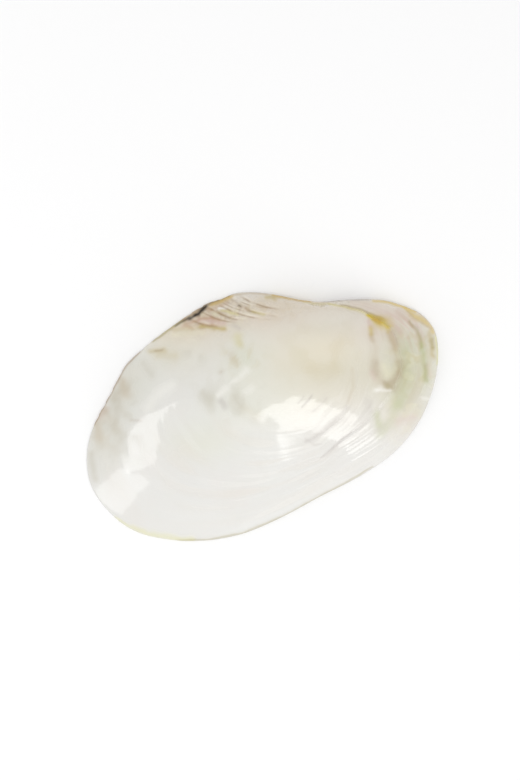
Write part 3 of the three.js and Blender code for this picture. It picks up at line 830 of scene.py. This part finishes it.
class Value:
    """A shader's number, which can be used in sums and products."""

    def __init__(self, shader, socket):
        self.shader = shader
        self.socket = socket

    def _math(self, operation, a, b):
        node = self.shader.node("ShaderNodeMath", {"operation": operation}, {0: a, 1: b})
        return Value(self.shader, node.outputs[0])

    def __add__(self, other):
        return self._math("ADD", self, other)

    def __rsub__(self, other):
        return self._math("SUBTRACT", other, self)

    def __mul__(self, other):
        return self._math("MULTIPLY", self, other)

    __radd__ = __add__
    __rmul__ = __mul__

    def clamp(self, low, high):
        """0 below low, 1 above high and straight between."""
        inputs = {"Value": self, "From Min": low, "From Max": high}
        node = self.shader.node("ShaderNodeMapRange", {"clamp": True}, inputs)
        return Value(self.shader, node.outputs[0])


class Shader:
    """The nodes of a material or world and the few ways in which they are added."""

    def __init__(self, owner):
        owner.use_nodes = True
        self.tree = owner.node_tree
        self.tree.nodes.clear()

    def node(self, kind, settings=None, inputs=None):
        """A node of that type with its settings made first, then its sockets' values or links."""
        node = self.tree.nodes.new(kind)
        for key, value in (settings or {}).items():
            setattr(node, key, value)
        for key, value in (inputs or {}).items():
            if isinstance(value, Value):
                value = value.socket
            if isinstance(value, bpy.types.NodeSocket):
                self.tree.links.new(value, node.inputs[key])
            else:
                node.inputs[key].default_value = value
        return node

    def mix(self, share, a, b, blend="MIX"):
        """Two colours mixed."""
        a, b = (c if isinstance(c, bpy.types.NodeSocket) else (*c, 1) for c in (a, b))
        settings = {"data_type": "RGBA", "blend_type": blend, "clamp_factor": True}
        return self.node("ShaderNodeMix", settings, {0: share, 6: a, 7: b}).outputs[2]

    def stretch(self, vector, scale):
        """A vector with each of its parts multiplied."""
        node = self.node("ShaderNodeVectorMath", {"operation": "MULTIPLY"}, {0: vector, 1: scale})
        return node.outputs[0]

    def noise(self, vector, scale, detail):
        """Smooth noise from 0 to 1."""
        inputs = {"Vector": vector, "Scale": scale, "Detail": detail}
        return Value(self, self.node("ShaderNodeTexNoise", None, inputs).outputs[0])

    def attribute(self, name):
        """A colour or number that the mesh carries."""
        return self.node("ShaderNodeAttribute", {"attribute_name": name})


def nacre_material(finish):
    """Mother-of-pearl, with what is left of the brown outer skin on it and some painted highlights and
    shadows.
    """
    material = bpy.data.materials.new("nacre")
    s = Shader(material)
    place = s.node("ShaderNodeTexCoord").outputs["Object"]
    growth = s.node("ShaderNodeUVMap", {"uv_map": "growth"}).outputs[0]
    tint = s.attribute("tint").outputs["Color"]
    stain_and_painted_light = s.attribute("stain_and_painted_light")
    inside = s.attribute("inside").outputs["Fac"]

    clouds = s.noise(place, 55, 3)
    mottle = s.noise(place, 160, 2)
    rings = s.noise(s.stretch(growth, (5, 150, 1)), 1, 3)
    threads = s.noise(s.stretch(growth, (14, 520, 1)), 1, 2)
    grit = s.noise(place, 1500, 2)

    pearl = s.mix(clouds.clamp(0.45, 0.75) * 0.5, tint, finish.rose, "MULTIPLY")
    pearl = s.mix(mottle.clamp(0.5, 0.8) * 0.4, pearl, finish.green, "MULTIPLY")
    pearl = s.mix(rings.clamp(0.5, 0.8) * 0.25, pearl, finish.cream, "MULTIPLY")
    hollow = s.mix(clouds.clamp(0.4, 0.7), finish.inside, finish.inside_rose)
    pearl = s.mix(inside, pearl, hollow)

    broken = 0.25 + 0.9 * mottle + 0.6 * rings
    cover = Value(s, stain_and_painted_light.outputs["Alpha"]) * broken.clamp(0, 1)
    shade = s.mix(grit * 0.3, stain_and_painted_light.outputs["Color"], (0.8, 0.74, 0.62), "MULTIPLY")
    colour = s.mix(cover, pearl, shade)

    height = rings * 0.5 + threads * 0.5 + cover * grit * 2
    bump = s.node("ShaderNodeBump", None, {"Distance": finish.ring_depth, "Height": height})
    rough = finish.roughness + 0.08 * clouds + 0.35 * cover
    shader = s.node("ShaderNodeBsdfPrincipled", None, {
        "Base Color": colour,
        "Roughness": rough,
        "Coat Weight": (1 - cover) * (1 - clouds.clamp(0.45, 0.7) * 0.25),
        "Coat Roughness": finish.coat_roughness,
        "Coat IOR": 1.7,
        "IOR": 1.4,
        "Normal": bump.outputs[0],
    })
    s.node("ShaderNodeOutputMaterial", None, {"Surface": shader.outputs[0]})
    return material


def floor_material(stage):
    """Plain pale paper."""
    material = bpy.data.materials.new("floor")
    s = Shader(material)
    place = s.node("ShaderNodeTexCoord").outputs["Object"]
    grain = s.noise(place, 900, 2)
    colour = s.mix(grain * 0.02, stage.floor, (0.97, 0.97, 0.97))
    paper = {"Base Color": colour, "Roughness": 0.9, "IOR": 1.2}
    shader = s.node("ShaderNodeBsdfPrincipled", None, paper)
    s.node("ShaderNodeOutputMaterial", None, {"Surface": shader.outputs[0]})
    return material


class ClamValveShape(bpy.types.PropertyGroup):
    """Sizes of the valve."""

    depth: FloatProperty(
        name="Depth", description="Crest above the surface that it rests on",
        default=0.026, unit="LENGTH")
    wall: FloatProperty(
        name="Wall", description="Thickness at the crest", default=0.0023, unit="LENGTH")
    lip: FloatProperty(
        name="Lip", description="Height of the blunt outer edge", default=0.0006, unit="LENGTH")
    rim: FloatProperty(
        name="Rim", description="Width of the flat edge round the belly", default=0.0017, unit="LENGTH")
    hinge_plate: FloatProperty(
        name="Hinge plate", description="Width of the flat edge along the hinge",
        default=0.0042, unit="LENGTH")
    columns: IntProperty(name="Columns", description="Columns of faces round the margin", default=540)
    outer_rows: IntProperty(
        name="Outer rows", description="Rows of vertices from the beak to the margin", default=150)
    inner_rows: IntProperty(name="Inner rows", description="Rows of vertices up the inside", default=28)


class ClamNacreFinish(bpy.types.PropertyGroup):
    """Colours and gloss of the nacre."""

    rose: FloatVectorProperty(
        name="Rose", description="Tint of the rosy clouds", subtype="COLOR", default=(1.0, 0.965, 0.95))
    green: FloatVectorProperty(
        name="Green", description="Tint of the greenish mottling", subtype="COLOR",
        default=(0.97, 0.985, 0.96))
    cream: FloatVectorProperty(
        name="Cream", description="Tint along the growth lines", subtype="COLOR",
        default=(1.0, 0.985, 0.96))
    inside: FloatVectorProperty(
        name="Inside", description="Nacre of the hollow", subtype="COLOR", default=(0.80, 0.79, 0.76))
    inside_rose: FloatVectorProperty(
        name="Inside rose", description="Rosier nacre of the hollow", subtype="COLOR",
        default=(0.80, 0.74, 0.73))
    roughness: FloatProperty(name="Roughness", description="Roughness of the nacre", default=0.2)
    coat_roughness: FloatProperty(
        name="Coat roughness", description="Roughness of the polish", default=0.075)
    ring_depth: FloatProperty(
        name="Ring depth", description="Height of the finest growth lines",
        default=0.00003, unit="LENGTH")


class ClamStage(bpy.types.PropertyGroup):
    """The camera, the floor and the light."""

    floor: FloatVectorProperty(
        name="Floor", description="Colour of the floor", subtype="COLOR", default=(0.96, 0.96, 0.96))
    dim: FloatProperty(
        name="Dim side", description="Strength of the soft light from behind the hinge", default=0.85)
    bright: FloatProperty(
        name="Bright side", description="Strength of the soft light from the belly's side",
        default=0.76)
    lens: FloatProperty(name="Lens", description="Focal length in millimetres", default=150.0)
    millimetres_per_pixel: FloatProperty(
        name="Scale", description="Millimetres on the floor for one pixel of the picture", default=0.4)
    rear_softbox: FloatProperty(
        name="Rear softbox", description="Power of the lights at the rear end",
        default=0.88, unit="POWER")
    front_softbox: FloatProperty(
        name="Front softbox", description="Power of the light below the front end",
        default=3.8, unit="POWER")


def placed_in_frame(points):
    """Points turned from the hinge's frame and centred over the solid's footprint, in metres."""
    turned = points @ np.array(HINGE_TURN.to_matrix()).T * MM
    low, high = turned.min(axis=(0, 1)), turned.max(axis=(0, 1))
    box_low, box_high = (np.array(corner) for corner in VALVE_BOX)
    shift = (box_low + box_high) / 2 - (low + high) / 2
    shift[2] = box_low[2]
    return turned + shift


def hinge_to_frame(x, y):
    """A point of the hinge's frame, in millimetres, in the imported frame, in metres."""
    turn = np.array(HINGE_TURN.to_matrix())[:2, :2]
    outline = margin_point(np.linspace(0, 1, 4 * TABLE_SIZE)) @ turn.T
    centre = [(a + b) / 2 for a, b in zip(*VALVE_BOX)]
    turned = turn @ np.array((x, y)) - (outline.min(axis=0) + outline.max(axis=0)) / 2
    return Vector((centre[0] + turned[0] * MM, centre[1] + turned[1] * MM, 0))


class CLAM_OT_add_valve(bpy.types.Operator):
    """Model the valve as one fine closed skin with its nacre"""

    bl_idname = "clam.add_valve"
    bl_label = "Add valve"

    def execute(self, context):
        shape = context.scene.clam_valve_shape
        points, grown, places = skin_points(shape)
        row_count, column_count = points.shape[:2]
        bpy.ops.mesh.primitive_grid_add(
            x_subdivisions=column_count - 1, y_subdivisions=row_count - 1, size=1, calc_uvs=True)
        valve = context.object
        valve.name = valve.data.name = "valve_nacre"
        mesh = valve.data

        flat = np.empty(len(mesh.vertices) * 3)
        mesh.vertices.foreach_get("co", flat)
        column = np.rint((flat[0::3] + 0.5) * (column_count - 1)).astype(int)
        row = np.rint((flat[1::3] + 0.5) * (row_count - 1)).astype(int)
        mesh.vertices.foreach_set("co", placed_in_frame(points)[row, column].ravel())

        self.carry_growth(mesh, grown[row, column], places[column])
        skin = points[row, column]
        self.carry_colour(mesh, "tint", np.pad(skin_tint(skin), ((0, 0), (0, 1)), constant_values=1.0))
        self.carry_colour(mesh, "stain_and_painted_light", skin_paint(skin, grown[row, column]))
        inside = mesh.attributes.new("inside", "FLOAT", "POINT")
        inside.data.foreach_set("value", ease(*INSIDE_FADE, grown[row, column]))

        bpy.ops.object.mode_set(mode="EDIT")
        bpy.ops.mesh.select_all(action="SELECT")
        bpy.ops.mesh.remove_doubles(threshold=1e-6)
        bpy.ops.mesh.normals_make_consistent(inside=False)
        bpy.ops.object.mode_set(mode="OBJECT")
        bpy.ops.object.shade_smooth()

        mesh.materials.append(nacre_material(context.scene.clam_nacre_finish))
        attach(valve, "root")
        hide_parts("valve")
        return {"FINISHED"}

    def carry_growth(self, mesh, grown, places):
        """The UV map that runs round the margin and along the growth."""
        layer = mesh.uv_layers.active
        layer.name = "growth"
        corner = np.empty(len(mesh.loops), int)
        mesh.loops.foreach_get("vertex_index", corner)
        layer.uv.foreach_set("vector", np.column_stack((places[corner], grown[corner])).ravel())

    def carry_colour(self, mesh, name, colours):
        """A colour with cover for each vertex."""
        layer = mesh.color_attributes.new(name, "FLOAT_COLOR", "POINT")
        layer.data.foreach_set("color", colours.ravel())


class CLAM_OT_add_stage(bpy.types.Operator):
    """Add the pale floor, the soft light and the camera over the valve"""

    bl_idname = "clam.add_stage"
    bl_label = "Add stage"

    def execute(self, context):
        stage = context.scene.clam_stage
        self.add_floor(stage)
        self.add_world(context, stage)
        powers = (stage.rear_softbox, LOW_SHARE * stage.rear_softbox, stage.front_softbox)
        for softbox, power in zip(SOFTBOXES, powers):
            self.add_softbox(*softbox, power)
        self.add_camera(context, stage)
        context.scene.view_settings.view_transform = "Standard"
        return {"FINISHED"}

    def add_floor(self, stage):
        """A large pale sheet under the valve."""
        bpy.ops.mesh.primitive_circle_add(vertices=96, radius=3, fill_type="NGON")
        floor = bpy.context.object
        floor.name = "floor"
        floor.data.materials.append(floor_material(stage))

    def add_world(self, context, stage):
        """Soft light from all round, brighter from below and in front of the shell."""
        world = bpy.data.worlds.new("studio")
        toward = Vector(SKY_AIM).normalized()
        toward.rotate(HINGE_TURN)
        s = Shader(world)
        place = s.node("ShaderNodeTexCoord").outputs["Generated"]
        along = s.node("ShaderNodeVectorMath", {"operation": "DOT_PRODUCT"}, {0: place, 1: toward})
        ramp = s.node("ShaderNodeMapRange", {"interpolation_type": "SMOOTHSTEP"}, {
            "Value": along.outputs["Value"],
            "From Min": SKY_RANGE[0],
            "From Max": SKY_RANGE[1],
            "To Min": stage.dim,
            "To Max": stage.bright,
        })
        white = {"Color": (1, 1, 1, 1), "Strength": ramp.outputs[0]}
        background = s.node("ShaderNodeBackground", None, white)
        s.node("ShaderNodeOutputWorld", None, {"Surface": background.outputs[0]})
        context.scene.world = world

    def add_softbox(self, name, target, aim, roll, size, power):
        """A softbox a metre from its target, in the direction of its aim."""
        data = bpy.data.lights.new(name, "AREA")
        data.shape = "RECTANGLE"
        data.size, data.size_y = size
        data.energy = power
        light = bpy.data.objects.new(name, data)
        bpy.context.scene.collection.objects.link(light)
        away = Vector(aim).normalized()
        away.rotate(HINGE_TURN)
        light.location = hinge_to_frame(*target[:2]) + Vector((0, 0, target[2] * MM)) + away
        turn = away.to_track_quat("Z", "Y") @ Euler((0, 0, math.radians(roll))).to_quaternion()
        light.rotation_euler = turn.to_euler()
        light.visible_camera = False

    def add_camera(self, context, stage):
        """A camera straight above, with the hinge line level in its picture."""
        data = bpy.data.cameras.new("camera")
        data.lens = stage.lens
        camera = bpy.data.objects.new("camera", data)
        context.scene.collection.objects.link(camera)
        context.scene.camera = camera
        picture_height = PICTURE_HEIGHT * stage.millimetres_per_pixel * MM
        camera.location = hinge_to_frame(*SEEN_FROM[:2])
        camera.location.z = picture_height * data.lens / data.sensor_width
        camera.rotation_euler = HINGE_TURN


class CLAM_PT_panel(bpy.types.Panel):
    """Lists the pieces and their settings"""

    bl_label = "Clam valve"
    bl_idname = "CLAM_PT_panel"
    bl_space_type = "VIEW_3D"
    bl_region_type = "UI"
    bl_category = "Clam valve"

    def draw(self, context):
        layout = self.layout
        layout.operator(CLAM_OT_add_valve.bl_idname)
        layout.operator(CLAM_OT_add_stage.bl_idname)
        scene = context.scene
        for group in (scene.clam_valve_shape, scene.clam_nacre_finish, scene.clam_stage):
            for name in group.bl_rna.properties.keys():
                if name not in ("rna_type", "name"):
                    layout.prop(group, name)


CLASSES = (
    ClamValveShape, ClamNacreFinish, ClamStage, CLAM_OT_add_valve, CLAM_OT_add_stage, CLAM_PT_panel,
)


def register():
    for each in CLASSES:
        bpy.utils.register_class(each)
    bpy.types.Scene.clam_valve_shape = PointerProperty(type=ClamValveShape)
    bpy.types.Scene.clam_nacre_finish = PointerProperty(type=ClamNacreFinish)
    bpy.types.Scene.clam_stage = PointerProperty(type=ClamStage)


def unregister():
    del bpy.types.Scene.clam_stage
    del bpy.types.Scene.clam_nacre_finish
    del bpy.types.Scene.clam_valve_shape
    for each in reversed(CLASSES):
        bpy.utils.unregister_class(each)


def main():
    register()
    bpy.ops.clam.add_valve()
    bpy.ops.clam.add_stage()


if __name__ == "__main__":
    main()
